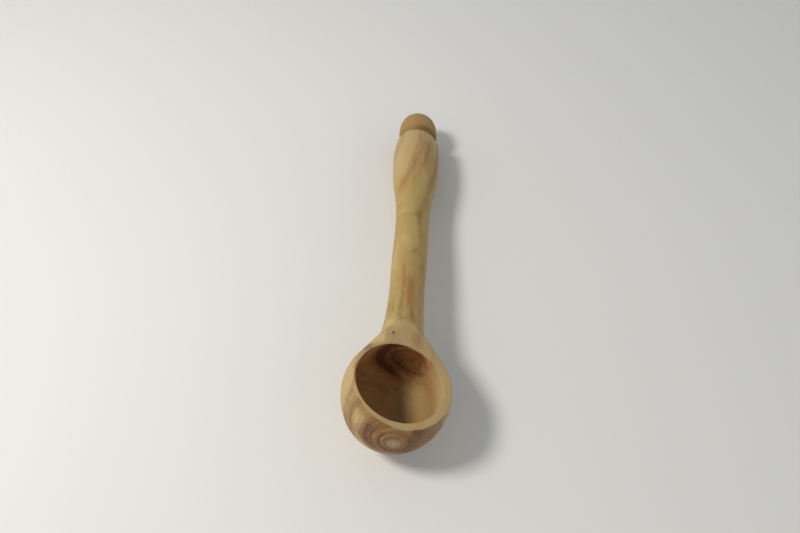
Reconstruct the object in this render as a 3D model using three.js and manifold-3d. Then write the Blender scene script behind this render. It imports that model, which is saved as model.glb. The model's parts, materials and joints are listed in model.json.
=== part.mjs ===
import * as THREE from 'three';
import { mergeVertices } from 'three/addons/utils/BufferGeometryUtils.js';
import Module from 'manifold-3d';

// A turned wooden mustard spoon, lying at rest with its bowl open upwards.
// Sizes are in millimetres. Before the spoon is laid down its turning axis is Y:
// stations are distances along it, from the middle of the ball towards the knob.

const spoonLength = 139; // from the tip of the nose to the end of the knob

// The ball that the bowl is hollowed from
const bowlRadius = 15.2;
const noseLength = 16.3; // from the widest section to the front tip
const rimHeight = 6.3; // the sawn flat above the turning axis

// Walls left round the hollow
const rimWallLeft = 0.5;
const rimWallRight = 2.5;
const rimWallFront = 1.85;
const floorWall = 3.6;
const floorRise = 12; // height of the rounded floor below the straight wall

// The root of the neck: a cone off the ball, a tight cove and the start of a slow taper
const rootAngle = 31; // degrees, between the cone and the turning axis
const rootCoveRadius = 8.5;
const coveToSeam = 1.5; // along the taper, up to the joint line
const taperAngle = 5.5; // degrees
const rootSwell = 0.65; // how much fuller the joint line is than the neck

// The handle
const neckRadius = 5.4;
const neckToMiddle = 15.5;
const middleRadius = 5.6;
const middleToWaist = 14;
const waistRadius = 5.5;
const bulbRadius = 8.15;
const shoulderLength = 9.2; // from the fullest part of the bulb to the groove
const shoulderDrop = 1.4;

// The end knob
const grooveWidth = 0.8; // of the level collar in the groove
const grooveDepth = 1.25; // below the fullest part of the knob
const knobFlankLength = 3.9; // from the collar to the fullest part
const knobRadius = 6.95;
const knobDomeLength = 9.1;
const knobDomeFullness = 2.7; // 2 is an ellipse, more is blunter

// The round tenons
const neckTenonRadius = 3;
const hollowToSocket = 3.5; // wood left between the hollow and the socket
const knobTenonRadius = 3;
const knobTenonLength = 8;
const jointClearance = 0.25;

// How finely the curves are stepped
const bowlSides = 56;
const handleSides = 40;
const hollowSides = 48;
const arcSteps = 6;
const knobSteps = 9;
const cutMargin = 5; // how far a cutting solid runs past the wood
const tiltRounds = 30; // enough for the resting tilt to settle

// Places worked out from the sizes above
const coneTurn = THREE.MathUtils.degToRad(rootAngle);
const taperTurn = THREE.MathUtils.degToRad(taperAngle);
const taperSlope = Math.tan(taperTurn);
const seamRadius = neckRadius + rootSwell;
const coveEndRadius = seamRadius + coveToSeam * taperSlope;
const coveCentreRadius = coveEndRadius + rootCoveRadius * Math.cos(taperTurn);
const coveReach = bowlRadius + rootCoveRadius - coveCentreRadius * Math.cos(coneTurn);
const coveCentreStation = coveReach / Math.sin(coneTurn);
const seamStation = coveCentreStation - rootCoveRadius * Math.sin(taperTurn) + coveToSeam;
const neckStation = seamStation + 2 * rootSwell / taperSlope;
const rimShare = Math.sqrt(1 - (rimHeight / bowlRadius) ** 2);
const rimHalfWidth = bowlRadius * rimShare;
const hollowRadius = rimHalfWidth - (rimWallLeft + rimWallRight) / 2;
const hollowX = (rimWallLeft - rimWallRight) / 2;
const hollowY = hollowRadius + rimWallFront - noseLength * rimShare;
const hollowFloor = floorWall - bowlRadius;
const neckTenonTip = hollowY + hollowRadius + hollowToSocket + jointClearance;
const middleStation = neckStation + neckToMiddle;
const waistStation = middleStation + middleToWaist;
const knobStation = spoonLength - noseLength - knobDomeLength;
const knobFlankStation = knobStation - knobFlankLength;
const knobFaceStation = knobFlankStation - grooveWidth;
const grooveStation = knobFaceStation - jointClearance;
const bulbStation = grooveStation - shoulderLength;
const shoulderRadius = bulbRadius - shoulderDrop;
const grooveRadius = knobRadius - grooveDepth;

const wasm = await Module();
wasm.setup();

function solidOf(geometry) {
  geometry.deleteAttribute('normal');
  geometry.deleteAttribute('uv');
  const merged = mergeVertices(geometry, 1e-5);
  return new wasm.Manifold(new wasm.Mesh({
    numProp: 3,
    vertProperties: new Float32Array(merged.attributes.position.array),
    triVerts: new Uint32Array(merged.index.array),
  }));
}

function geometryOf(solid) {
  const mesh = solid.getMesh();
  const geometry = new THREE.BufferGeometry();
  geometry.setAttribute('position', new THREE.BufferAttribute(mesh.vertProperties, 3));
  geometry.setIndex(new THREE.BufferAttribute(mesh.triVerts, 1));
  geometry.computeVertexNormals();
  return geometry;
}

// A profile is a path of (radius, station) that starts and ends on the axis.
function turned(profile, sides) {
  return new THREE.LatheGeometry(profile.getPoints(arcSteps), sides);
}

// A gentle S from one radius to the next, level at both ends
function swellTo(profile, station, radius) {
  const start = profile.currentPoint.clone();
  const reach = (station - start.y) / 2;
  profile.bezierCurveTo(start.x, start.y + reach, radius, station - reach, radius, station);
}

function woodMaterial(colour) {
  return new THREE.MeshStandardMaterial({ color: colour, roughness: 0.62, metalness: 0 });
}

// Bowl: the ball and the flared root of the neck, with a blind socket behind
function bowlBlank() {
  const socketRadius = neckTenonRadius + jointClearance;
  const profile = new THREE.Path();
  profile.moveTo(0, -noseLength);
  profile.absellipse(0, 0, bowlRadius, noseLength, -Math.PI / 2, 0, false);
  profile.absarc(0, 0, bowlRadius, 0, coneTurn, false);
  profile.absarc(
    coveCentreRadius, coveCentreStation, rootCoveRadius,
    Math.PI + coneTurn, Math.PI + taperTurn, true,
  );
  profile.lineTo(seamRadius, seamStation);
  profile.lineTo(socketRadius, seamStation);
  profile.lineTo(socketRadius, neckTenonTip - jointClearance);
  profile.lineTo(0, neckTenonTip - jointClearance);
  return turned(profile, bowlSides);
}

// The wood above the flat of the rim
function rimWaste() {
  const height = bowlRadius - rimHeight + cutMargin;
  const length = noseLength + seamStation + 2 * cutMargin;
  const waste = new THREE.BoxGeometry(2 * (bowlRadius + cutMargin), length, height);
  waste.translate(0, length / 2 - noseLength - cutMargin, rimHeight + height / 2);
  return waste;
}

// The round hollow: a straight wall below the rim and a rounded floor
function hollowWaste() {
  const profile = new THREE.Path();
  profile.moveTo(0, hollowFloor);
  profile.absellipse(0, hollowFloor + floorRise, hollowRadius, floorRise, -Math.PI / 2, 0, false);
  profile.lineTo(hollowRadius, rimHeight + cutMargin);
  profile.lineTo(0, rimHeight + cutMargin);
  const waste = turned(profile, hollowSides);
  waste.rotateX(Math.PI / 2);
  waste.translate(hollowX, hollowY, 0);
  return waste;
}

function bowl() {
  const solid = solidOf(bowlBlank()).subtract(solidOf(rimWaste())).subtract(solidOf(hollowWaste()));
  const mesh = new THREE.Mesh(geometryOf(solid), woodMaterial(0xb0905c));
  mesh.name = 'bowl';
  return mesh;
}

// Handle: front tenon, slim neck, waist and bulb, with a blind socket in its end
function handle() {
  const socketRadius = knobTenonRadius + jointClearance;
  const socketFloor = grooveStation - knobTenonLength;
  const faceStation = seamStation + jointClearance;
  const faceRadius = seamRadius - jointClearance * taperSlope;
  const profile = new THREE.Path();
  profile.moveTo(0, neckTenonTip);
  profile.lineTo(neckTenonRadius, neckTenonTip);
  profile.lineTo(neckTenonRadius, faceStation);
  profile.lineTo(faceRadius, faceStation);
  profile.quadraticCurveTo(neckRadius, (seamStation + neckStation) / 2, neckRadius, neckStation);
  swellTo(profile, middleStation, middleRadius);
  swellTo(profile, waistStation, waistRadius);
  swellTo(profile, bulbStation, bulbRadius);
  profile.absellipse(
    shoulderRadius, bulbStation, shoulderDrop, shoulderLength,
    0, Math.PI / 2, false,
  );
  profile.lineTo(socketRadius, grooveStation);
  profile.lineTo(socketRadius, socketFloor);
  profile.lineTo(0, socketFloor);
  const mesh = new THREE.Mesh(turned(profile, handleSides), woodMaterial(0xb89a66));
  mesh.name = 'handle';
  return mesh;
}

// End knob: tenon, groove collar, a flank that swells out of the groove, and a blunt dome
function endKnob() {
  const tenonTip = grooveStation - knobTenonLength + jointClearance;
  const profile = new THREE.Path();
  profile.moveTo(0, tenonTip);
  profile.lineTo(knobTenonRadius, tenonTip);
  profile.lineTo(knobTenonRadius, knobFaceStation);
  profile.lineTo(grooveRadius, knobFaceStation);
  profile.lineTo(grooveRadius, knobFlankStation);
  swellTo(profile, knobStation, knobRadius);
  for (let step = 1; step <= knobSteps; step += 1) {
    const along = Math.sin((step / knobSteps) * (Math.PI / 2));
    const share = (1 - along ** knobDomeFullness) ** (1 / knobDomeFullness);
    profile.lineTo(step === knobSteps ? 0 : knobRadius * share, knobStation + knobDomeLength * along);
  }
  const mesh = new THREE.Mesh(turned(profile, handleSides), woodMaterial(0xb08c54));
  mesh.name = 'end_knob';
  return mesh;
}

// The tilt at which the ball and the bulb's shoulder touch the same level surface
function restTilt() {
  let tilt = 0;
  for (let round = 0; round < tiltRounds; round += 1) {
    const reach = Math.hypot(shoulderLength * Math.sin(tilt), shoulderDrop * Math.cos(tilt));
    tilt = Math.asin((bowlRadius - shoulderRadius * Math.cos(tilt) - reach) / bulbStation);
  }
  return tilt;
}

// The turn about the axis at which the bowl's heavy side is lowest. The rest is round, so it has no say.
function restRoll({ geometry }) {
  const { index, attributes: { position } } = geometry;
  const corners = [new THREE.Vector3(), new THREE.Vector3(), new THREE.Vector3()];
  const moment = new THREE.Vector3();
  for (let face = 0; face < index.count; face += 3) {
    corners.forEach((corner, i) => corner.fromBufferAttribute(position, index.getX(face + i)));
    const [a, b, c] = corners;
    const volume = b.clone().cross(c).dot(a) / 6;
    corners.forEach((corner) => moment.addScaledVector(corner, volume / 4));
  }
  return Math.atan2(moment.x, -moment.z);
}

const spoon = new THREE.Group();
spoon.name = 'mustard_spoon';
const billet = new THREE.Group();
const hollowedBall = bowl();
billet.add(hollowedBall, handle(), endKnob());
billet.rotation.set(-restTilt(), restRoll(hollowedBall), 0);
spoon.add(billet);

// The origin is under the middle of the spoon, on the surface that it lies on.
spoon.updateMatrixWorld(true);
const reach = new THREE.Box3().setFromObject(spoon, true);
const middle = reach.getCenter(new THREE.Vector3());
billet.position.set(-middle.x, -middle.y, -reach.min.z);

export default spoon;
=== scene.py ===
import json
from math import asin, atan2, cos, pi, radians, sin, sqrt, tan
from types import SimpleNamespace

import bpy
from mathutils import Matrix, Quaternion, Vector


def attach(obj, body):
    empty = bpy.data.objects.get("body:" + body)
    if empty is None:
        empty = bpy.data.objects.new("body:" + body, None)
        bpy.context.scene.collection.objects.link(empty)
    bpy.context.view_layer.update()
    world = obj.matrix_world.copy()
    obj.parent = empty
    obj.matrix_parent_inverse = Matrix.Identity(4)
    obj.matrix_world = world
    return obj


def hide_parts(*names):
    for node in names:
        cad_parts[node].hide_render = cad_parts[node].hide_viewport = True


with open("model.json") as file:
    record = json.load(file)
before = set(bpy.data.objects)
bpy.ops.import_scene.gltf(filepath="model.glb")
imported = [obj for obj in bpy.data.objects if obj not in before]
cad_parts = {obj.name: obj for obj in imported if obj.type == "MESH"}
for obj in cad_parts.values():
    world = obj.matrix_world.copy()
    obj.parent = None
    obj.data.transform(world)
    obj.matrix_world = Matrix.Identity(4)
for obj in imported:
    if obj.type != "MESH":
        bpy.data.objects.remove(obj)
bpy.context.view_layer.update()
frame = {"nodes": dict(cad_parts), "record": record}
scene = bpy.context.scene
mm = 0.001
print("frame loaded:", ", ".join(sorted(frame["nodes"])))

# Sizes are in millimetres. Every piece is turned along Y, with the middle of the ball at the
# origin and the rim facing +Z, and is then laid down where the record's rim flat says.
turning = {
    "ballRadius": 15.2,
    "noseLength": 16.3,
    "rimHeight": 6.3,
    "rimPoint": 15.8,      # where along the axis the record's rim flat is
    "coneAngle": 31.0,     # the root of the neck: a cone off the ball,
    "coveRadius": 8.5,     # a tight cove
    "coveToSeam": 1.5,
    "taperAngle": 5.5,     # and a slow taper
    "rootSwell": 0.65,
    "neckRadius": 5.4,
    "steps": 144,          # round the lathe
    "mergeGap": 0.001,     # points closer than this are one
    "sliceGap": 0.0001,    # and points closer than this to a saw cut lie on it
}
coneTurn = radians(turning["coneAngle"])
taperTurn = radians(turning["taperAngle"])
taperSlope = tan(taperTurn)
seamRadius = turning["neckRadius"] + turning["rootSwell"]
coveCentre = seamRadius + turning["coveToSeam"] * taperSlope + turning["coveRadius"] * cos(taperTurn)
coveReach = turning["ballRadius"] + turning["coveRadius"] - coveCentre * cos(coneTurn)
coveStation = coveReach / sin(coneTurn)
seamStation = coveStation - turning["coveRadius"] * sin(taperTurn) + turning["coveToSeam"]
neckStation = seamStation + 2 * turning["rootSwell"] / taperSlope

rimFlat = frame["record"]["mounts"][0]
tilt = atan2(rimFlat["axis"][1], rimFlat["axis"][2])
roll = asin(rimFlat["axis"][0])
layDown = Matrix.Rotation(-tilt, 4, "X") @ Matrix.Rotation(roll, 4, "Y")
rimPlace = Vector((0, turning["rimPoint"], turning["rimHeight"])) * mm
ballCentre = Vector(rimFlat["pos_m"]) - layDown @ rimPlace


def deselectAll():
    bpy.ops.object.select_all(action="DESELECT")


def makeActive(piece):
    deselectAll()
    piece.select_set(True)
    bpy.context.view_layer.objects.active = piece


def arc(centre, radii, start, end, steps):
    # points of an ellipse arc, as (radius, station); angles in radians from the radius direction
    turns = [start + (end - start) * step / steps for step in range(steps + 1)]
    return [(centre[0] + radii[0] * cos(a), centre[1] + radii[1] * sin(a)) for a in turns]


def swell(start, end, steps):
    # a gentle S from one radius to the next, level at both ends
    level = 0.5            # how far the ends hold level, as a share of the length
    points = []
    for step in range(steps + 1):
        t = step / steps
        along = 3 * level * t * (1 - t) * (1 - t) + 3 * (1 - level) * t * t * (1 - t) + t ** 3
        rise = 3 * t * t * (1 - t) + t ** 3
        points.append((start[0] + (end[0] - start[0]) * rise, start[1] + (end[1] - start[1]) * along))
    return points


def easeTo(start, corner, end, steps):
    # a bend that leaves the start towards the corner and reaches the end from it
    shares = [step / steps for step in range(steps + 1)]
    blend = [((1 - t) ** 2, 2 * t * (1 - t), t * t) for t in shares]
    return [tuple(a * start[i] + b * corner[i] + c * end[i] for i in (0, 1)) for a, b, c in blend]


def turnOnLathe(name, profile, steps):
    # the profile is drawn point by point by extruding one vertex, then spun round Y
    deselectAll()
    bpy.ops.mesh.primitive_plane_add(size=mm)
    piece = bpy.context.object
    piece.name = name
    piece.data.name = name
    bpy.ops.object.mode_set(mode="EDIT")
    bpy.ops.mesh.select_all(action="SELECT")
    bpy.ops.mesh.merge(type="CENTER")
    tool = Vector((0, 0, 0))
    for number, (radius, station) in enumerate(profile):
        step = Vector((radius * mm, station * mm, 0)) - tool
        if number == 0:
            bpy.ops.transform.translate(value=step)
        else:
            bpy.ops.mesh.extrude_region_move(TRANSFORM_OT_translate={"value": step})
        tool += step
    bpy.ops.mesh.select_all(action="SELECT")
    bpy.ops.mesh.spin(steps=steps, angle=2 * pi, center=(0, 0, 0), axis=(0, 1, 0))
    bpy.ops.mesh.select_all(action="SELECT")
    bpy.ops.mesh.remove_doubles(threshold=turning["mergeGap"] * mm)
    bpy.ops.mesh.normals_make_consistent(inside=False)
    bpy.ops.object.mode_set(mode="OBJECT")
    return piece


def applyModifier(piece, name, kind, **settings):
    makeActive(piece)
    modifier = piece.modifiers.new(name, kind)
    for key, value in settings.items():
        setattr(modifier, key, value)
    bpy.ops.object.modifier_apply(modifier=modifier.name)


def cutWith(piece, tool):
    applyModifier(piece, "cut", "BOOLEAN", object=tool, operation="DIFFERENCE", solver="EXACT")
    bpy.data.objects.remove(tool)


def sliceOff(piece, place, normal):
    # bisects the piece and closes the cut; what the normal points at goes
    makeActive(piece)
    bpy.ops.object.mode_set(mode="EDIT")
    bpy.ops.mesh.select_all(action="SELECT")
    bpy.ops.mesh.bisect(
        plane_co=place, plane_no=normal, use_fill=True, clear_outer=True, clear_inner=False,
        threshold=turning["sliceGap"] * mm,
    )
    bpy.ops.object.mode_set(mode="OBJECT")


# Hand turning leaves a spoon slightly out of true. One lattice and one noise for all pieces
# keep them in line: the handle bows to the right, and the nose hangs forward and to the left.
handWork = {
    # (station, shift across)
    "bow": [(-16, 0.0), (0, 0.0), (12, 0.05), (26, 0.5), (60, 0.62), (98, 0.05), (122, -0.25)],
    "noseHang": (-0.7, -0.75, -0.35),   # across, along and up
    "noseReach": 12.0,     # the hang is full this far in front of the ball's middle
    "groove": (94.0, 106.0, 0.08),   # the groove is cut aslant: from, to, and shift per width
    "lowestLayer": -0.25,  # the cage's heights run from -0.5 to 0.5
    "cageStart": -20.0,
    "cageEnd": 130.0,
    "cageRows": 31,
    "cageHalf": 12.0,
    "noiseSize": 26.0,
    "noiseStrength": 0.16,
}
unevenness = bpy.data.textures.new("handWork", "CLOUDS")
unevenness.cloud_type = "COLOR"
unevenness.noise_scale = handWork["noiseSize"] * mm
unevenness.noise_depth = 0


def readOff(points, station):
    # the value of a line drawn through (station, value) points
    for (before, low), (after, high) in zip(points, points[1:]):
        if station <= after:
            share = max(0.0, (station - before) / (after - before))
            return low + (high - low) * share
    return points[-1][1]


def makeCage():
    work = handWork
    deselectAll()
    bpy.ops.object.add(type="LATTICE")
    cage = bpy.context.object
    cage.name = "bowCage"
    length = work["cageEnd"] - work["cageStart"]
    width = 2 * work["cageHalf"]
    cage.location = (0, (work["cageStart"] + length / 2) * mm, 0)
    cage.scale = (width * mm, length * mm, width * mm)
    grid = cage.data
    grid.points_u = 2
    grid.points_v = work["cageRows"]
    grid.points_w = 3
    for point in grid.points:
        station = work["cageStart"] + (point.co[1] + 0.5) * length
        shift = Vector((readOff(work["bow"], station), 0, 0))
        if point.co[2] < work["lowestLayer"]:      # it also carries the hanging nose
            share = min(1.0, max(0.0, -station / work["noseReach"]))
            shift += Vector(work["noseHang"]) * share
        start, end, lean = work["groove"]
        share = min(1.0, max(0.0, (station - start) / (end - start)))
        shift[1] -= lean * point.co[0] * width * share
        point.co_deform = point.co + Vector((shift[0] / width, shift[1] / length, shift[2] / width))
    bpy.context.view_layer.update()
    return cage


bowCage = makeCage()


def finishPiece(piece, node, edgeAngle):
    applyModifier(piece, "bow", "LATTICE", object=bowCage)
    applyModifier(
        piece, "handWork", "DISPLACE", texture=unevenness, texture_coords="LOCAL",
        direction="RGB_TO_XYZ", mid_level=0.5, strength=handWork["noiseStrength"] * mm,
    )
    piece.matrix_world = Matrix.Translation(ballCentre) @ layDown
    makeActive(piece)
    bpy.ops.object.transform_apply(location=True, rotation=True, scale=True)
    bpy.ops.object.shade_smooth_by_angle(angle=radians(edgeAngle))
    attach(piece, "root")
    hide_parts(node)
    print(piece.name, "made,", len(piece.data.polygons), "faces")


# Bowl: the ball and the root of the neck, sawn flat and hollowed, with a socket behind
bowlSizes = {
    "wallLeft": 0.5,
    "wallRight": 2.5,
    "wallFront": 1.85,
    "floorWall": 3.6,
    "floorRise": 12.0,
    "socketRadius": 3.25,
    "socketToHollow": 3.5,
    "waste": 5.0,          # how far the cutting shapes run past the wood
    "voxel": 0.25,         # size of the even mesh that the edges are sanded on
    "sanding": 3,
    "sandingFactor": 0.5,
    # a small open pore on the flat behind the mouth
    "pit": {"across": -4.1, "along": 15.2, "overFlat": 0.12, "radius": 0.55, "segments": 24, "rings": 12},
    # the gouge that pared the left of the flat: where its middle runs, its radius, its rounded front
    "gouge": {"across": -12.4, "up": 11.0, "radius": 7.57, "front": 12.5, "frontLength": 4.0},
    "arcSteps": {"nose": 48, "ball": 16, "cove": 20, "floor": 40, "gouge": 24},
    "socketSteps": 64,
    "edgeAngle": 35,       # edges sharper than this stay sharp in the shading
}
rimShare = sqrt(1 - (turning["rimHeight"] / turning["ballRadius"]) ** 2)
hollowRadius = turning["ballRadius"] * rimShare - (bowlSizes["wallLeft"] + bowlSizes["wallRight"]) / 2
hollowX = (bowlSizes["wallLeft"] - bowlSizes["wallRight"]) / 2
hollowY = hollowRadius + bowlSizes["wallFront"] - turning["noseLength"] * rimShare
rootEnd = seamStation + bowlSizes["waste"]


def turnBall():
    # the ball and the root of the neck, still solid
    ballRadius = turning["ballRadius"]
    cove = (turning["coveRadius"], turning["coveRadius"])
    rootRadius = seamRadius - bowlSizes["waste"] * taperSlope
    steps = bowlSizes["arcSteps"]
    outline = arc((0, 0), (ballRadius, turning["noseLength"]), -pi / 2, 0, steps["nose"])
    outline[0] = (0, -turning["noseLength"])
    outline += arc((0, 0), (ballRadius, ballRadius), 0, coneTurn, steps["ball"])[1:]
    outline += arc((coveCentre, coveStation), cove, pi + coneTurn, pi + taperTurn, steps["cove"])
    outline += [(seamRadius, seamStation), (rootRadius, rootEnd), (0, rootEnd)]
    return turnOnLathe("bowlTurned", outline, turning["steps"])


def makeDrill():
    # the hollow: a straight wall below the rim and a rounded floor
    rise = bowlSizes["floorRise"]
    floorHeight = bowlSizes["floorWall"] - turning["ballRadius"]
    top = turning["rimHeight"] + bowlSizes["waste"]
    steps = bowlSizes["arcSteps"]["floor"]
    outline = arc((0, floorHeight + rise), (hollowRadius, rise), -pi / 2, 0, steps)
    outline[0] = (0, floorHeight)
    outline += [(hollowRadius, top), (0, top)]
    drill = turnOnLathe("hollowTool", outline, turning["steps"])
    drill.rotation_euler = (pi / 2, 0, 0)
    drill.location = Vector((hollowX, hollowY, 0)) * mm
    return drill


def makeGouge():
    # a round bar with a rounded front
    sizes = bowlSizes["gouge"]
    front = (sizes["radius"], sizes["frontLength"])
    outline = arc((0, sizes["front"]), front, -pi / 2, 0, bowlSizes["arcSteps"]["gouge"])
    outline[0] = (0, sizes["front"] - sizes["frontLength"])
    outline += [(sizes["radius"], rootEnd), (0, rootEnd)]
    gouge = turnOnLathe("gougeTool", outline, turning["steps"])
    gouge.location = Vector((sizes["across"], 0, sizes["up"])) * mm
    return gouge


def makePit():
    sizes = bowlSizes["pit"]
    deselectAll()
    bpy.ops.mesh.primitive_uv_sphere_add(
        segments=sizes["segments"], ring_count=sizes["rings"], radius=sizes["radius"] * mm,
    )
    pit = bpy.context.object
    height = turning["rimHeight"] + sizes["overFlat"]
    pit.location = Vector((sizes["across"], sizes["along"], height)) * mm
    return pit


def makeReamer():
    # the socket for the handle's tenon
    radius = bowlSizes["socketRadius"]
    socketFloor = hollowY + hollowRadius + bowlSizes["socketToHollow"]
    outline = [(0, socketFloor), (radius, socketFloor), (radius, rootEnd), (0, rootEnd)]
    return turnOnLathe("socketTool", outline, bowlSizes["socketSteps"])


def makeBowl():
    sizes = bowlSizes
    bowl = turnBall()
    sliceOff(bowl, (0, 0, turning["rimHeight"] * mm), (0, 0, 1))
    cutWith(bowl, makeDrill())
    cutWith(bowl, makeGouge())
    applyModifier(
        bowl, "evenMesh", "REMESH", mode="VOXEL", voxel_size=sizes["voxel"] * mm, adaptivity=0,
    )
    applyModifier(bowl, "sanding", "SMOOTH", factor=sizes["sandingFactor"], iterations=sizes["sanding"])
    cutWith(bowl, makePit())
    sliceOff(bowl, (0, seamStation * mm, 0), (0, 1, 0))
    cutWith(bowl, makeReamer())
    finishPiece(bowl, "bowl", sizes["edgeAngle"])
    return bowl


# Handle: front tenon, slim neck, waist and bulb, with a socket in its end
handleSizes = {
    "tenonRadius": 3.0,
    "tenonTip": 15.43,
    "tenonChamfer": 0.4,
    "seamLine": 0.02,       # the joint in the neck is a hairline
    "middle": (51.3, 5.6),  # station and radius, as the next three
    "waist": (65.3, 5.5),
    "bulb": (99.45, 8.15),
    "end": (108.65, 6.75),
    "endRounding": 0.22,
    "shoulderStop": 0.22,   # radians short of square, where the rounded lip takes over
    "lipStart": 35.0,       # degrees
    "lipInset": 0.2,        # share of the rounding
    "socketRadius": 3.25,
    "socketDepth": 8.0,
    "curveSteps": 24,
    "shoulderSteps": 20,
    "lipSteps": 5,
    "edgeAngle": 35,
}


def makeHandle():
    sizes = handleSizes
    tenon = sizes["tenonRadius"]
    face = seamStation + sizes["seamLine"]
    neck = (turning["neckRadius"], neckStation)
    corner = (turning["neckRadius"], (seamStation + neckStation) / 2)
    endStation, endRadius = sizes["end"]
    bulbStation, bulbRadius = sizes["bulb"]
    rounding = sizes["endRounding"]

    outline = [(0, sizes["tenonTip"]), (tenon - sizes["tenonChamfer"], sizes["tenonTip"])]
    outline += [(tenon, sizes["tenonTip"] + sizes["tenonChamfer"]), (tenon, face)]
    outline += easeTo((seamRadius - sizes["seamLine"] * taperSlope, face), corner, neck, sizes["curveSteps"])
    for station, radius in (sizes["middle"], sizes["waist"], sizes["bulb"]):
        outline += swell(outline[-1], (radius, station), sizes["curveSteps"])[1:]
    shoulder = (bulbRadius - endRadius, endStation - bulbStation)
    shoulderEnd = pi / 2 - sizes["shoulderStop"]
    outline += arc((endRadius, bulbStation), shoulder, 0, shoulderEnd, sizes["shoulderSteps"])[1:]
    lip = (endRadius - rounding * sizes["lipInset"], endStation - rounding)
    outline += arc(lip, (rounding, rounding), radians(sizes["lipStart"]), pi / 2, sizes["lipSteps"])
    socketFloor = endStation - sizes["socketDepth"]
    outline += [(sizes["socketRadius"], endStation), (sizes["socketRadius"], socketFloor)]
    outline.append((0, socketFloor))
    handle = turnOnLathe("handleTurned", outline, turning["steps"])
    finishPiece(handle, "handle", sizes["edgeAngle"])
    return handle


# End knob: tenon, the collar in the groove, a flank that swells out of it, and a blunt dome
knobSizes = {
    "tenonRadius": 3.0,
    "tenonTip": 100.9,
    "tenonChamfer": 0.4,
    "face": 108.67,
    "collarRadius": 5.7,
    "collarFillet": 0.3,
    "collarEnd": 109.7,
    "full": (113.6, 6.95),  # station and radius
    "domeLength": 9.1,
    "domeFullness": 2.7,    # 2 is an ellipse, more is blunter
    "filletSteps": 5,
    "flankSteps": 20,
    "domeSteps": 44,
    "edgeAngle": 40,
}


def makeKnob():
    sizes = knobSizes
    tenon = sizes["tenonRadius"]
    fillet = sizes["collarFillet"]
    collar = sizes["collarRadius"]
    fullStation, fullRadius = sizes["full"]

    outline = [(0, sizes["tenonTip"]), (tenon - sizes["tenonChamfer"], sizes["tenonTip"])]
    outline += [(tenon, sizes["tenonTip"] + sizes["tenonChamfer"]), (tenon, sizes["face"])]
    filletCentre = (collar + fillet, sizes["face"] + fillet)
    outline += arc(filletCentre, (fillet, fillet), 1.5 * pi, pi, sizes["filletSteps"])
    outline += swell((collar, sizes["collarEnd"]), (fullRadius, fullStation), sizes["flankSteps"])
    power = 2 / sizes["domeFullness"]
    for step in range(1, sizes["domeSteps"]):
        a = step / sizes["domeSteps"] * pi / 2
        outline.append((fullRadius * cos(a) ** power, fullStation + sizes["domeLength"] * sin(a) ** power))
    outline.append((0, fullStation + sizes["domeLength"]))
    knob = turnOnLathe("knobTurned", outline, turning["steps"])
    finishPiece(knob, "end_knob", sizes["edgeAngle"])
    return knob


def srgb(red, green, blue):
    # a colour as it looks on a screen, 0 to 255, to the linear one that the shader takes
    def linear(value):
        share = value / 255
        return share / 12.92 if share <= 0.04045 else ((share + 0.055) / 1.055) ** 2.4
    return (linear(red), linear(green), linear(blue), 1)


def feed(tree, socket, value):
    if isinstance(value, bpy.types.NodeSocket):
        tree.links.new(value, socket)
    else:
        socket.default_value = value


def addNode(tree, kind, inputs=None, **settings):
    made = tree.nodes.new(kind)
    for key, value in settings.items():
        setattr(made, key, value)
    for key, value in (inputs or {}).items():
        feed(tree, made.inputs[key], value)
    return made


def maths(tree, operation, *values, clamp=False):
    made = addNode(tree, "ShaderNodeMath", operation=operation, use_clamp=clamp)
    for socket, value in zip(made.inputs, values):
        feed(tree, socket, value)
    return made.outputs[0]


def product(tree, first, *others):
    for other in others:
        first = maths(tree, "MULTIPLY", first, other)
    return first


def vectorMaths(tree, operation, first, second=None, output=0):
    made = addNode(tree, "ShaderNodeVectorMath", {0: first}, operation=operation)
    if second is not None:
        feed(tree, made.inputs[1], second)
    return made.outputs[output]


def addTo(tree, total, value, share):
    # the total plus a share of the value
    return maths(tree, "MULTIPLY_ADD", value, share, total)


def lessen(tree, value, mask, share=1.0):
    # takes this share off the value where the mask is 1
    return product(tree, value, maths(tree, "MULTIPLY_ADD", mask, -share, 1.0))


def centred(tree, noise, spread=1.0):
    # noise from 0 to 1, moved to lie evenly about 0
    return maths(tree, "MULTIPLY_ADD", noise, spread, -spread / 2)


def lengthOf(tree, vector):
    return vectorMaths(tree, "LENGTH", vector, output="Value")


def fade(tree, value, start, end, low=0.0, high=1.0):
    # a soft change from low to high as the value goes from start to end
    inputs = {"Value": value, "From Min": start, "From Max": end, "To Min": low, "To Max": high}
    return addNode(tree, "ShaderNodeMapRange", inputs, interpolation_type="SMOOTHSTEP").outputs["Result"]


def mixColour(tree, share, first, second, blend="MIX"):
    # a Mix node's sockets share their names, so they go by number: 0, 6 and 7 in, 2 out
    made = addNode(tree, "ShaderNodeMix", data_type="RGBA", blend_type=blend)
    for number, value in ((0, share), (6, first), (7, second)):
        feed(tree, made.inputs[number], value)
    return made.outputs[2]


def tint(tree, colour, mask, share, shade):
    # mixes a share of another colour in where the mask is 1
    return mixColour(tree, product(tree, mask, share), colour, srgb(*shade))


def cloud(tree, place, across, along, detail=2.0, roughness=0.5):
    # noise drawn out along the grain; across and along are waves per millimetre
    inputs = {"Vector": vectorMaths(tree, "MULTIPLY", place, (across, along, across)), "Scale": 1.0}
    inputs["Detail"] = detail
    inputs["Roughness"] = roughness
    return addNode(tree, "ShaderNodeTexNoise", inputs, noise_dimensions="3D").outputs[0]


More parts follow.
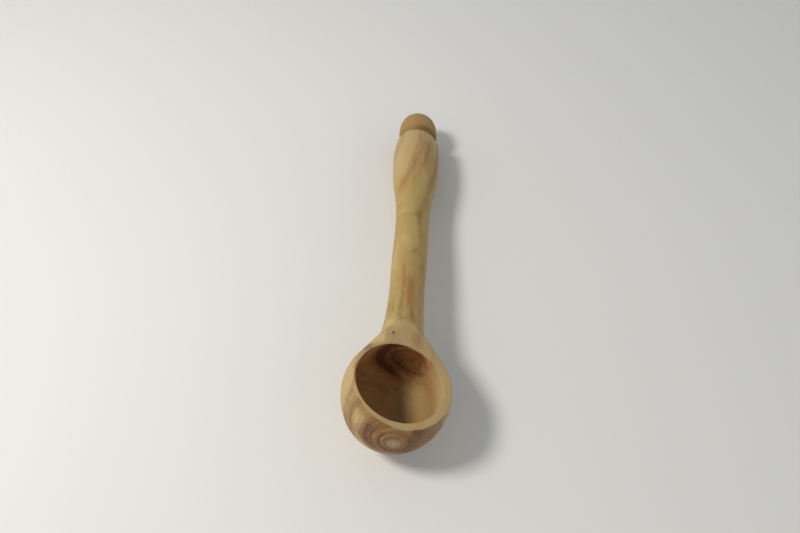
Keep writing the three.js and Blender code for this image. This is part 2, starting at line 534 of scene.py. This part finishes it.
def ramp(tree, value, stops, reach):
    # darkness by distance, as a grey colour ramp; stops are (distance, darkness)
    made = addNode(tree, "ShaderNodeValToRGB", {"Fac": maths(tree, "DIVIDE", value, reach)})
    colours = made.color_ramp.elements
    while len(colours) > 1:
        colours.remove(colours[-1])
    for number, (distance, darkness) in enumerate(stops):
        stop = colours[0] if number == 0 else colours.new(distance / reach)
        stop.position = distance / reach
        stop.color = (darkness, darkness, darkness, 1)
    return made.outputs[0]


def curveAlong(tree, along, points, reach):
    # a line drawn along the spoon: its place across at each station, read off a float curve
    start, end = points[0][0], points[-1][0]
    share = maths(tree, "DIVIDE", maths(tree, "SUBTRACT", along, start), end - start)
    made = addNode(tree, "ShaderNodeFloatCurve", {"Value": share})
    line = made.mapping.curves[0]
    dots = [((y - start) / (end - start), (x + reach) / (2 * reach)) for y, x in points]
    line.points[0].location = dots[0]
    line.points[1].location = dots[-1]
    for dot in dots[1:-1]:
        line.points.new(*dot)
    made.mapping.update()
    return maths(tree, "MULTIPLY_ADD", made.outputs[0], 2 * reach, -reach)


# Wood: one solid material for all pieces, in millimetres of the lathe's frame. A span in the
# dictionaries below is the start and end of a soft change from 0 to 1, or, with two more numbers,
# from the third to the fourth. A noise is its waves per millimetre across and along, and its detail.
woodPlaces = {
    "endGrain": (0.45, 0.95),      # by how far the surface faces along the grain
    "hollowWall": (0.3, 0.1),      # by distance outside the drill's radius
    "underRim": (6.25, 6.0),       # by height
    "ballSkin": (15.05, 14.85),    # by distance from the middle of the ball
    "flat": (5.9, 6.2),            # by height
    "upperSide": (-0.5, 2.5),      # by height
    "flatEnd": (21.0, 20.0),       # the rest are by station
    "slimStart": (13, 24),
    "slimEnd": (90, 76),
    "knob": (108.0, 110.0),
}


def findPlaces(tree):
    spans = woodPlaces
    toMm = 1 / mm
    coordinates = addNode(tree, "ShaderNodeTexCoord")
    onObject = {"Vector": coordinates.outputs["Object"]}
    mapping = addNode(tree, "ShaderNodeMapping", onObject, vector_type="POINT")
    pickUp = layDown.inverted()
    mapping.inputs["Scale"].default_value = (toMm, toMm, toMm)
    mapping.inputs["Rotation"].default_value = pickUp.to_euler("XYZ")
    mapping.inputs["Location"].default_value = pickUp @ ballCentre * -toMm
    at = SimpleNamespace(place=mapping.outputs[0])
    at.across, at.along, at.up = addNode(tree, "ShaderNodeSeparateXYZ", {0: at.place}).outputs

    axis = layDown @ Vector((0, 1, 0))
    facing = vectorMaths(tree, "DOT_PRODUCT", coordinates.outputs["Normal"], axis, "Value")
    at.facing = maths(tree, "ABSOLUTE", facing)      # 1 on end grain
    at.endGrain = fade(tree, at.facing, *spans["endGrain"])

    level = vectorMaths(tree, "SUBTRACT", at.place, (hollowX, hollowY, 0))
    level = vectorMaths(tree, "MULTIPLY", level, (1, 1, 0))
    fromDrill = maths(tree, "SUBTRACT", lengthOf(tree, level), hollowRadius)
    withinBall = fade(tree, lengthOf(tree, at.place), *spans["ballSkin"])
    at.inside = product(tree, withinBall, fade(tree, fromDrill, *spans["hollowWall"]))
    at.inside = product(tree, at.inside, fade(tree, at.up, *spans["underRim"]))
    at.flat = product(tree, fade(tree, at.up, *spans["flat"]), fade(tree, at.along, *spans["flatEnd"]))
    at.slim = fade(tree, at.along, *spans["slimStart"])
    at.slim = product(tree, at.slim, fade(tree, at.along, *spans["slimEnd"]))
    at.knob = fade(tree, at.along, *spans["knob"])
    at.upper = lessen(tree, fade(tree, at.up, *spans["upperSide"]), at.inside)
    return at


# Growth rings round a pith that runs aslant through the spoon, so every cut shows its own figure
ringLook = {
    "pithAcross": 1.66,            # at the middle of the ball
    "pithDrift": 0.12,             # per millimetre along
    "pithHeight": 1.1,
    "noseShift": (-6.0, -13.0, 0.0, 0.44),   # the rings on the nose lie a little further right
    "acrossScale": (-16, 11, 0.92, 0.77),    # of the rings, from the nose to behind the hollow
    "upScale": (-16, 11, 1.0, 1.06),
    "broadNoise": (0.09, 0.03, 1.0),
    "broadShift": 1.0,
    "smallNoise": (0.5, 0.06, 2.0),
    "smallShift": 0.6,
    "reach": 26.0,
    "rings": [                     # distance from the pith, and darkness
        (0.0, 0.34), (0.7, 0.28), (1.5, 0.34), (2.1, 0.5), (2.5, 0.44), (3.4, 0.5), (4.0, 0.95),
        (4.45, 0.45), (4.9, 0.24), (5.25, 0.54), (5.6, 0.5), (6.0, 0.76), (6.8, 0.92), (7.6, 0.82),
        (8.3, 0.36), (9.2, 0.14), (10.8, 0.12), (11.25, 0.46), (11.7, 0.36), (12.5, 0.38), (12.8, 0.5),
        (13.3, 0.12), (15.2, 0.08), (16.1, 0.06), (16.6, 0.5), (17.2, 0.12), (19.4, 0.05), (19.9, 0.35),
        (20.4, 0.1), (23.4, 0.1), (23.9, 0.4), (24.6, 0.1),
    ],
    "core": 0.68,                  # darkness within the dark rings behind the hollow
    "coreShare": 0.55,
    "coreEdge": (5.8, 4.6),
    "coreStart": (-2, 6),
    "strength": (0.1, 0.75, 0.36, 1.0),      # stronger the more the surface is end grain
    "slimLess": 0.6,
    "flatLess": 0.6,
    "knobLess": (0.4, 0.8, 0.75, 0.2),       # most on the knob's flank
    "calmFrom": (8.5, 10.0),       # the outer rings in the hollow
    "calmLess": 0.4,
    "rightFade": (10.0, 4.5, 0.35, 1.0),     # fainter right of the pith
    "hollowRightFade": (5.5, 1.5, 0.12, 1.0),
    "goneFrom": (5.0, 5.8),        # the dark rings in the hollow end a little left of the pith
    "goneRight": (-4.0, -0.5),
    "goneLess": 0.7,
    "deepRings": (0.6, 0.9),       # and are deepest on its back wall
    "deepStart": (0, 6),
    "deepShare": 0.2,
}


def addRings(tree, at):
    look = ringLook
    pithX = maths(tree, "MULTIPLY_ADD", at.along, look["pithDrift"], look["pithAcross"])
    at.aside = maths(tree, "SUBTRACT", at.across, pithX)
    wide = maths(tree, "SUBTRACT", at.aside, fade(tree, at.along, *look["noseShift"]))
    wide = product(tree, wide, fade(tree, at.along, *look["acrossScale"]))
    tall = maths(tree, "SUBTRACT", at.up, look["pithHeight"])
    tall = product(tree, tall, fade(tree, at.along, *look["upScale"]))
    fromPith = lengthOf(tree, addNode(tree, "ShaderNodeCombineXYZ", {0: wide, 2: tall}).outputs[0])
    broad = centred(tree, cloud(tree, at.place, *look["broadNoise"]), look["broadShift"])
    small = centred(tree, cloud(tree, at.place, *look["smallNoise"]), look["smallShift"])
    at.distance = maths(tree, "ADD", maths(tree, "ADD", fromPith, broad), small)
    rings = ramp(tree, at.distance, look["rings"], look["reach"])
    core = product(tree, fade(tree, at.distance, *look["coreEdge"]), look["coreShare"])
    core = product(tree, core, fade(tree, at.along, *look["coreStart"]))
    at.rings = mixColour(tree, core, rings, (look["core"], look["core"], look["core"], 1))

    strength = fade(tree, at.facing, *look["strength"])
    strength = lessen(tree, strength, at.slim, look["slimLess"])
    strength = lessen(tree, strength, at.flat, look["flatLess"])
    strength = lessen(tree, strength, product(tree, at.knob, fade(tree, at.facing, *look["knobLess"])))
    calm = product(tree, at.inside, fade(tree, at.distance, *look["calmFrom"]))
    strength = lessen(tree, strength, calm, look["calmLess"])
    strength = product(tree, strength, fade(tree, at.aside, *look["rightFade"]))
    asideInHollow = product(tree, at.aside, at.inside)
    strength = product(tree, strength, fade(tree, asideInHollow, *look["hollowRightFade"]))
    gone = product(tree, at.inside, fade(tree, at.distance, *look["goneFrom"]))
    gone = product(tree, gone, fade(tree, at.aside, *look["goneRight"]))
    strength = lessen(tree, strength, gone, look["goneLess"])
    deep = product(tree, at.inside, fade(tree, at.rings, *look["deepRings"]))
    deep = lessen(tree, product(tree, deep, fade(tree, at.along, *look["deepStart"])), gone)
    return addTo(tree, product(tree, at.rings, strength), deep, look["deepShare"])


# Hairlines between the rings, on end grain, and a small knot on the hollow's back wall
hairlineLook = {
    "perRing": 12.0,               # how much closer the lines lie than the noise's own waves
    "noise": (0.12, 0.12, 1.0),
    "facing": (0.2, 0.7),
    "insideLess": 0.45,
    "knobLess": 0.75,
    "depth": 1.2,
    "knot": (3.0, 10.9, 1.4),
    "knotEdge": (1.1, 0.2),
    "knotDepth": 0.35,
}


def addHairlines(tree, at, darkness):
    look = hairlineLook
    layers = {0: product(tree, at.distance, look["perRing"]), 1: at.across, 2: at.up}
    lines = cloud(tree, addNode(tree, "ShaderNodeCombineXYZ", layers).outputs[0], *look["noise"])
    lines = product(tree, centred(tree, lines), fade(tree, at.facing, *look["facing"]))
    lines = lessen(tree, lines, at.inside, look["insideLess"])
    lines = lessen(tree, lines, at.knob, look["knobLess"])
    darkness = addTo(tree, darkness, lines, look["depth"])
    fromKnot = vectorMaths(tree, "DISTANCE", at.place, look["knot"], "Value")
    return addTo(tree, darkness, fade(tree, fromKnot, *look["knotEdge"]), look["knotDepth"])


# Figure: soft blotches all round the slim part, streaks and patches on the upper side; a few of the patches
# are painted shade and painted light
figureWithPaintedLight = {
    "blotchNoise": (0.24, 0.1, 2.0),
    "blotchDepth": 0.5,
    "wanderNoise": (0.35, 0.14, 2.0),
    "wander": 1.4,                 # how far the edges waver
    "streakReach": 8.0,            # the furthest across that a streak may run
    "streakEdge": 1.8,             # half widths at which it has faded out
    "streakStart": (-1, 3),        # along, from its first point
    "streakEnd": (1, -3),          # and from its last
    "patchEdge": (1.25, 0.2),
    # half width, darkness, then (along, across) points
    "streaks": [
        (0.9, 0.2, [(20, 1.8), (24, 1.0), (28, -0.1), (31, 0.1), (34, 0.3), (39, -0.3)]),
        (0.5, 0.2, [(20, -2.0), (28, -2.4), (32, -2.0), (37, -2.0), (46, -2.9)]),
        (0.9, 0.17, [
            (46, -2.4), (47.5, -1.9), (49, -0.4), (51, 1.2), (53, 2.1), (57, 1.9), (64, 1.5), (69, 1.6),
        ]),
        (1.9, 0.13, [(64, 2.0), (69, 1.6), (75, 2.3), (83, 2.6), (90, 2.3), (104, 2.6)]),
        (1.3, 0.1, [(70, -1.0), (81, -1.0), (92, -0.5)]),
        (1.3, 0.2, [(77, -5.6), (82, -4.7), (86, -3.6), (90, -3.0), (96, -1.8), (108, -1.2)]),
    ],
    # across, along, half width, half length, darkness (below 0 is lighter)
    "patches": [
        (2.4, 95.0, 3.2, 10.0, 0.14), (-0.8, 66.2, 2.6, 1.2, 0.12), (2.0, 49.0, 2.6, 2.0, 0.12),
        (3.4, 44.0, 1.5, 4.5, 0.16), (2.3, 31.0, 2.2, 11.0, 0.1), (-4.8, 23.0, 0.7, 1.4, 0.12),
        (-2.9, 23.1, 0.7, 1.0, 0.14), (-2.6, 21.5, 1.6, 0.6, 0.14), (-5.4, 74.1, 1.8, 1.8, -0.2),
        (-5.0, 68.6, 2.0, 1.6, -0.2), (-3.1, 27.0, 0.9, 4.0, -0.08), (-2.6, 56.0, 2.6, 8.0, -0.02),
        # the patch at 3.0, 15.0 is painted shade on the right of the flat behind the mouth
        (2.4, 117.5, 2.2, 2.4, 0.24), (4.2, 114.6, 1.6, 1.4, 0.16), (3.0, 15.0, 2.2, 4.6, 0.22),
        # the patch at 7.4, 13.0 is painted shade on the rim's right back; those at -5.2, 20.5 and -9.0, 13.0
        # are painted light on the lit slope left of the flat
        (7.4, 13.0, 1.8, 3.0, 0.06), (-5.2, 20.5, 3.6, 5.0, -0.28), (-9.0, 13.0, 2.6, 3.6, -0.12),
        (-11.0, 8.6, 2.0, 2.2, 0.24), (-13.45, -1.0, 0.7, 6.0, 0.36),
    ],
}


def patch(tree, at, x, y, width, length):
    # 1 at the middle of a soft patch on the upper side
    away = vectorMaths(tree, "SUBTRACT", at.wavering, (x, y, 0))
    away = vectorMaths(tree, "DIVIDE", away, (width, length, 1))
    return product(tree, fade(tree, lengthOf(tree, away), *figureWithPaintedLight["patchEdge"]), at.upper)


def addFigureWithPaintedLight(tree, at, darkness):
    look = figureWithPaintedLight
    blotches = centred(tree, cloud(tree, at.place, *look["blotchNoise"]))
    darkness = addTo(tree, darkness, product(tree, blotches, at.slim), look["blotchDepth"])
    wander = centred(tree, cloud(tree, at.place, *look["wanderNoise"]), look["wander"])
    wavering = {0: maths(tree, "ADD", at.across, wander), 1: at.along}
    at.wavering = addNode(tree, "ShaderNodeCombineXYZ", wavering).outputs[0]
    for width, depth, points in look["streaks"]:
        line = curveAlong(tree, at.along, points, look["streakReach"])
        off = maths(tree, "ADD", maths(tree, "SUBTRACT", at.across, line), wander)
        streak = fade(tree, maths(tree, "ABSOLUTE", off), width * look["streakEdge"], 0.0)
        starts = [points[0][0] + step for step in look["streakStart"]]
        ends = [points[-1][0] + step for step in look["streakEnd"]]
        streak = product(tree, streak, fade(tree, at.along, *starts), fade(tree, at.along, *ends), at.upper)
        darkness = addTo(tree, darkness, streak, depth)
    # the patches include a few of painted shade and painted light round the flat
    for *where, depth in look["patches"]:
        darkness = addTo(tree, darkness, patch(tree, at, *where), depth)
    return darkness


# Grain: fibres and open pores, which crowd in the dark rings
grainLook = {
    "fibreNoise": (4.5, 0.22, 3.0, 0.65),    # with its roughness
    "fibreDepth": 0.18,
    "coarseNoise": (1.2, 0.07, 2.0),
    "coarseDepth": 0.22,
    "coarseRight": (1.0, 6.0),     # coarser right in the hollow
    "coarseInside": 0.4,
    "coarseKnob": 0.35,
    "poreScale": (2.6, 0.2, 2.6),
    "poreEdge": (0.24, 0.1),
    "poreRings": (0.25, 0.75, 0.12, 1.0),
}


def addGrain(tree, at, darkness):
    look = grainLook
    at.fibre = cloud(tree, at.place, *look["fibreNoise"])
    coarse = cloud(tree, at.place, *look["coarseNoise"])
    cells = {"Vector": vectorMaths(tree, "MULTIPLY", at.place, look["poreScale"]), "Scale": 1.0}
    pores = addNode(tree, "ShaderNodeTexVoronoi", cells, feature="F1").outputs["Distance"]
    pores = fade(tree, pores, *look["poreEdge"])
    at.specks = product(tree, pores, at.endGrain)
    at.pores = product(tree, pores, fade(tree, at.rings, *look["poreRings"]))
    right = product(tree, at.inside, fade(tree, at.across, *look["coarseRight"]))
    depth = addTo(tree, look["coarseDepth"], right, look["coarseInside"])
    depth = addTo(tree, depth, at.knob, look["coarseKnob"])
    darkness = addTo(tree, darkness, centred(tree, coarse), depth)
    return addTo(tree, darkness, centred(tree, at.fibre), look["fibreDepth"])


# Colours as they look on a screen: each part's light wood, darkened by the figure
woodColours = {
    "light": (180, 155, 107),
    "slim": (169, 145, 87),
    "knob": (155, 125, 70),
    "sawn": (176, 149, 103),
    "pale": (214, 190, 146),
    "toPale": (0.0, -0.4),         # by darkness
    "brown": (134, 101, 62),
    "streak": (138, 103, 52),      # the brown of the handle
    "streakStart": (12, 20),
    "toBrown": (0.0, 0.5),
    "dark": (101, 67, 41),
    "toDark": (0.45, 1.0),
    "warm": (180, 132, 80),
    "warmNoise": (0.16, 0.04, 1.0),
    "warmEdge": (0.48, 0.7),
    "warmShare": 0.2,
    # warm patches: across, along, half width, half length, share
    "glow": [(-4.3, 80.0, 2.0, 8.0, 0.25), (-3.0, 116.5, 4.5, 5.0, 0.25), (2.2, 58.0, 1.6, 9.0, 0.2)],
    "endGrain": (196, 172, 150),   # end grain is multiplied by this
    "endGrainShare": 0.4,
    "poreShare": 0.35,
}


def plainColour(tree, at, darkness):
    look = woodColours
    dark = srgb(*look["dark"])
    colour = mixColour(tree, at.slim, srgb(*look["light"]), srgb(*look["slim"]))
    colour = mixColour(tree, at.knob, colour, srgb(*look["knob"]))
    colour = mixColour(tree, at.flat, colour, srgb(*look["sawn"]))
    colour = mixColour(tree, fade(tree, darkness, *look["toPale"]), colour, srgb(*look["pale"]))
    onHandle = fade(tree, at.along, *look["streakStart"])
    brown = mixColour(tree, onHandle, srgb(*look["brown"]), srgb(*look["streak"]))
    colour = mixColour(tree, fade(tree, darkness, *look["toBrown"]), colour, brown)
    toDark = fade(tree, darkness, *look["toDark"])
    colour = mixColour(tree, toDark, colour, dark)

    warmth = fade(tree, cloud(tree, at.place, *look["warmNoise"]), *look["warmEdge"])
    warmth = product(tree, warmth, look["warmShare"])
    for *where, share in look["glow"]:
        warmth = maths(tree, "MULTIPLY_ADD", patch(tree, at, *where), share, warmth, clamp=True)
    colour = mixColour(tree, warmth, colour, mixColour(tree, toDark, srgb(*look["warm"]), colour))
    onEnd = product(tree, at.endGrain, look["endGrainShare"])
    colour = mixColour(tree, onEnd, colour, srgb(*look["endGrain"]), "MULTIPLY")
    return tint(tree, colour, at.pores, look["poreShare"], look["dark"])


# The nose: pale round the pith, pinkish on the right, golden under the rim, with light specks
noseLook = {
    "start": (-10.5, -13.0),
    "heart": (186, 165, 145),
    "heartEdge": (2.8, 0.0),       # by distance from the pith
    "heartShare": 0.55,
    "right": (128, 95, 71),
    "rightFacing": (0.3, 0.6),
    "rightStart": (-6.0, -9.0),
    "rightEdge": (3.0, 8.0),       # by distance to the side of the pith
    "rightShare": 0.75,
    "top": (134, 98, 50),
    "topHeight": (2.8, 5.0),
    "topStart": (-7.0, -10.0),
    "topEdge": (6.0, 3.0),
    "topShare": 0.6,
    "lines": (98, 66, 38),         # close dark lines right of the pith
    "linesLeft": (2.9, 4.1),
    "linesRight": (7.6, 5.6),
    "linesLow": (-6.0, -3.0),
    "linesTurn": 9.0,              # radians per millimetre
    "linesSwing": 0.25,
    "linesShare": 0.6,
    "low": (196, 160, 134),
    "lowEdge": (-3.0, -6.5),
    "lowShare": 0.5,
    "fleck": (168, 134, 102),
    "fleckNoise": (3.2, 0.5, 1.0),
    "fleckEdge": (0.54, 0.68),
    "fleckRings": (0.55, 0.8),
    "fleckShare": 0.4,
    "speck": (226, 210, 188),
    "speckShare": (4.5, 1.5, 0.1, 0.9),      # more of them near the pith
}


def colourNose(tree, at, colour):
    look = noseLook
    nose = product(tree, at.endGrain, fade(tree, at.along, *look["start"]))
    heart = product(tree, nose, fade(tree, at.distance, *look["heartEdge"]))
    colour = tint(tree, colour, heart, look["heartShare"], look["heart"])

    right = fade(tree, at.facing, *look["rightFacing"])
    right = product(tree, right, fade(tree, at.aside, *look["rightEdge"]))
    right = product(tree, right, fade(tree, at.along, *look["rightStart"]))
    colour = tint(tree, colour, right, look["rightShare"], look["right"])

    top = product(tree, fade(tree, at.up, *look["topHeight"]), fade(tree, at.along, *look["topStart"]))
    top = product(tree, top, fade(tree, at.aside, *look["topEdge"]))
    top = product(tree, top, fade(tree, at.up, *woodPlaces["underRim"]))
    colour = tint(tree, colour, top, look["topShare"], look["top"])

    lines = product(tree, nose, fade(tree, at.aside, *look["linesLeft"]))
    lines = product(tree, lines, fade(tree, at.aside, *look["linesRight"]))
    stripes = maths(tree, "SINE", product(tree, at.distance, look["linesTurn"]))
    lines = product(tree, lines, addTo(tree, look["linesShare"], stripes, look["linesSwing"]))
    lines = product(tree, lines, fade(tree, at.up, *look["linesLow"]))
    colour = mixColour(tree, lines, colour, srgb(*look["lines"]))

    low = product(tree, nose, fade(tree, at.up, *look["lowEdge"]))
    colour = tint(tree, colour, low, look["lowShare"], look["low"])
    flecks = fade(tree, cloud(tree, at.place, *look["fleckNoise"]), *look["fleckEdge"])
    flecks = product(tree, flecks, nose, fade(tree, at.rings, *look["fleckRings"]))
    colour = tint(tree, colour, flecks, look["fleckShare"], look["fleck"])
    specks = product(tree, at.specks, nose, fade(tree, at.distance, *look["speckShare"]))
    return mixColour(tree, specks, colour, srgb(*look["speck"]))


# Painted shade in the hollow: the inside is darkened, most on the left wall, and the lit right wall is
# painted lighter with paler wood instead
hollowShadeLook = {
    "insideShade": (0.91, 0.73, 0.61),     # painted shade: the wood's colour is multiplied by this,
    "left": (0.92, 0.76, 0.65),    # once more by this on the left wall, for its deeper painted shade,
    "leftEdge": (-6.0, -11.0),
    "low": (0.88, 0.97, 1.0),      # and by this low on the right
    "lowEdge": (0.5, 5.0),
    "lowHeight": (2.0, -3.0),
    "litWall": (196, 168, 128),        # painted light on the lit right wall: mixed with the plain wood there, in place of the painted shade
    "litShare": 0.5,
    "litEdge": (6.5, 9.5),
    "litHeight": (-2.0, 3.0),
    "litBack": (8.0, 2.0, 0.3, 1.0),         # less towards the handle
}


def shadeHollow(tree, at, colour):
    look = hollowShadeLook
    # painted shade over the inside of the hollow, deeper on the left wall
    shadedWood = mixColour(tree, 1.0, colour, (*look["insideShade"], 1), "MULTIPLY")
    left = fade(tree, at.across, *look["leftEdge"])
    shadedWood = mixColour(tree, left, shadedWood, (*look["left"], 1), "MULTIPLY")
    low = product(tree, fade(tree, at.across, *look["lowEdge"]), fade(tree, at.up, *look["lowHeight"]))
    shadedWood = mixColour(tree, low, shadedWood, (*look["low"], 1), "MULTIPLY")
    # painted light: paler wood on the lit right wall, in place of the painted shade
    litWood = mixColour(tree, look["litShare"], colour, srgb(*look["litWall"]))
    litWall = product(tree, fade(tree, at.across, *look["litEdge"]), fade(tree, at.up, *look["litHeight"]))
    litWall = product(tree, litWall, fade(tree, at.along, *look["litBack"]))
    return mixColour(tree, at.inside, colour, mixColour(tree, litWall, shadedWood, litWood))


# Painted shade in the groove before the knob, darkest on the right, away from the lamp
grooveShade = {
    "start": (108.4, 109.2),
    "end": (113.2, 111.6),
    # more of the painted shade on the right, away from the lamp
    "share": (-6.0, 1.0, 0.2, 0.6),
}


def shadeGroove(tree, at, colour):
    look = grooveShade
    # painted shade: the groove darkened towards the dark wood colour
    groove = product(tree, fade(tree, at.along, *look["start"]), fade(tree, at.along, *look["end"]))
    groove = product(tree, groove, fade(tree, at.across, *look["share"]))
    return mixColour(tree, groove, colour, srgb(*woodColours["dark"]))


woodFinish = {
    "roughness": 0.56,
    "roughnessSpread": 0.16,
    "fibreHeight": 0.5,
    "poreHeight": -0.8,
    "bumpStrength": 0.35,
    "bumpDepth": 0.06,
    "ior": 1.45,
    "specular": 0.32,
}


def makeWood():
    look = woodFinish
    made = bpy.data.materials.new("turnedWood")
    made.use_nodes = True
    tree = made.node_tree
    tree.nodes.clear()
    at = findPlaces(tree)
    darkness = addRings(tree, at)
    darkness = addHairlines(tree, at, darkness)
    darkness = addFigureWithPaintedLight(tree, at, darkness)
    darkness = addGrain(tree, at, darkness)
    colour = plainColour(tree, at, darkness)
    colour = colourNose(tree, at, colour)
    colour = shadeHollow(tree, at, colour)
    colour = shadeGroove(tree, at, colour)

    height = addTo(tree, product(tree, at.fibre, look["fibreHeight"]), at.pores, look["poreHeight"])
    relief = {"Height": height, "Strength": look["bumpStrength"], "Distance": look["bumpDepth"] * mm}
    bump = addNode(tree, "ShaderNodeBump", relief)
    smoothest = look["roughness"] - look["roughnessSpread"] / 2
    rough = addTo(tree, smoothest, at.fibre, look["roughnessSpread"])
    shader = addNode(tree, "ShaderNodeBsdfPrincipled", {"Base Color": colour, "Roughness": rough})
    feed(tree, shader.inputs["Normal"], bump.outputs[0])
    shader.inputs["IOR"].default_value = look["ior"]
    shader.inputs["Specular IOR Level"].default_value = look["specular"]
    output = addNode(tree, "ShaderNodeOutputMaterial")
    feed(tree, output.inputs["Surface"], shader.outputs[0])
    print("wood made,", len(tree.nodes), "nodes")
    return made


wood = makeWood()
for piece in (makeBowl(), makeHandle(), makeKnob()):
    piece.data.materials.clear()
    piece.data.materials.append(wood)
for node in frame["nodes"].values():
    node.data.materials.clear()
    node.data.materials.append(wood)
bpy.data.objects.remove(bowCage)

# Floor: plain pale paper under the spoon
floorLook = {
    "size": 4.0,
    "drop": 0.1,           # millimetres below the spoon
    "colour": (229, 228, 225),
    "shade": 0.97,         # how dark its faint clouds are
    "cloudScale": 9.0,
    "roughness": 0.75,
    "specular": 0.25,
}


def makeFloor():
    deselectAll()
    bpy.ops.mesh.primitive_plane_add(size=floorLook["size"], location=(0, 0, -floorLook["drop"] * mm))
    floor = bpy.context.object
    floor.name = "paperFloor"
    bpy.ops.object.transform_apply(location=True)
    paper = bpy.data.materials.new("palePaper")
    paper.use_nodes = True
    tree = paper.node_tree
    shader = tree.nodes["Principled BSDF"]
    coordinates = addNode(tree, "ShaderNodeTexCoord")
    inputs = {"Vector": coordinates.outputs["Object"], "Scale": floorLook["cloudScale"]}
    noise = addNode(tree, "ShaderNodeTexNoise", inputs)
    pale = srgb(*floorLook["colour"])
    shade = [value * floorLook["shade"] for value in pale[:3]] + [1]
    feed(tree, shader.inputs["Base Color"], mixColour(tree, noise.outputs[0], pale, shade))
    shader.inputs["Roughness"].default_value = floorLook["roughness"]
    shader.inputs["Specular IOR Level"].default_value = floorLook["specular"]
    floor.data.materials.append(paper)


# Light: one window-like lamp from the left and an even sky
lightLook = {
    "towards": (-0.79, -0.22, 1.0),
    "distance": 0.5,
    "size": 0.12,
    "power": 1.5,
    "colour": (255, 251, 244),
    "sky": (240, 243, 245),
    "skyLow": 1.08,       # strength at the horizon
    "skyHigh": 0.3,       # and overhead
    "skySpan": (0.1, 0.85),
}


def makeLight():
    lamp = bpy.data.lights.new("windowLight", "AREA")
    lamp.shape = "DISK"
    lamp.size = lightLook["size"]
    lamp.energy = lightLook["power"]
    lamp.color = srgb(*lightLook["colour"])[:3]
    window = bpy.data.objects.new("windowLight", lamp)
    scene.collection.objects.link(window)
    towards = Vector(lightLook["towards"]).normalized()
    window.location = towards * lightLook["distance"]
    window.rotation_mode = "QUATERNION"
    window.rotation_quaternion = towards.to_track_quat("Z", "Y")
    sky = bpy.data.worlds.new("evenSky")
    sky.use_nodes = True
    tree = sky.node_tree
    background = tree.nodes["Background"]
    background.inputs["Color"].default_value = srgb(*lightLook["sky"])
    direction = addNode(tree, "ShaderNodeTexCoord").outputs["Generated"]
    height = addNode(tree, "ShaderNodeSeparateXYZ", {0: direction}).outputs[2]
    strength = fade(tree, height, *lightLook["skySpan"], lightLook["skyLow"], lightLook["skyHigh"])
    feed(tree, background.inputs["Strength"], strength)
    scene.world = sky


# Camera: from the front end of the bowl, looking down along the handle
cameraView = {
    "place": (-1.52, -160.67, 203.37),
    "aim": (-2.26, -4.47, 10.0),
    "roll": -4.92,
    "lens": 35.2,
    "sensor": 36,
    "clipStart": 10,
}


def makeCamera():
    view = bpy.data.cameras.new("camera")
    view.lens = cameraView["lens"]
    view.sensor_width = cameraView["sensor"]
    view.clip_start = cameraView["clipStart"] * mm
    camera = bpy.data.objects.new("camera", view)
    scene.collection.objects.link(camera)
    spot = Vector(cameraView["place"]) * mm
    sight = (Vector(cameraView["aim"]) * mm - spot).normalized()
    camera.location = spot
    camera.rotation_mode = "QUATERNION"
    level = sight.to_track_quat("-Z", "Y")
    camera.rotation_quaternion = Quaternion(sight, radians(cameraView["roll"])) @ level
    scene.camera = camera


makeFloor()
makeLight()
makeCamera()
scene.view_settings.view_transform = "Standard"
print("floor, light and camera made")
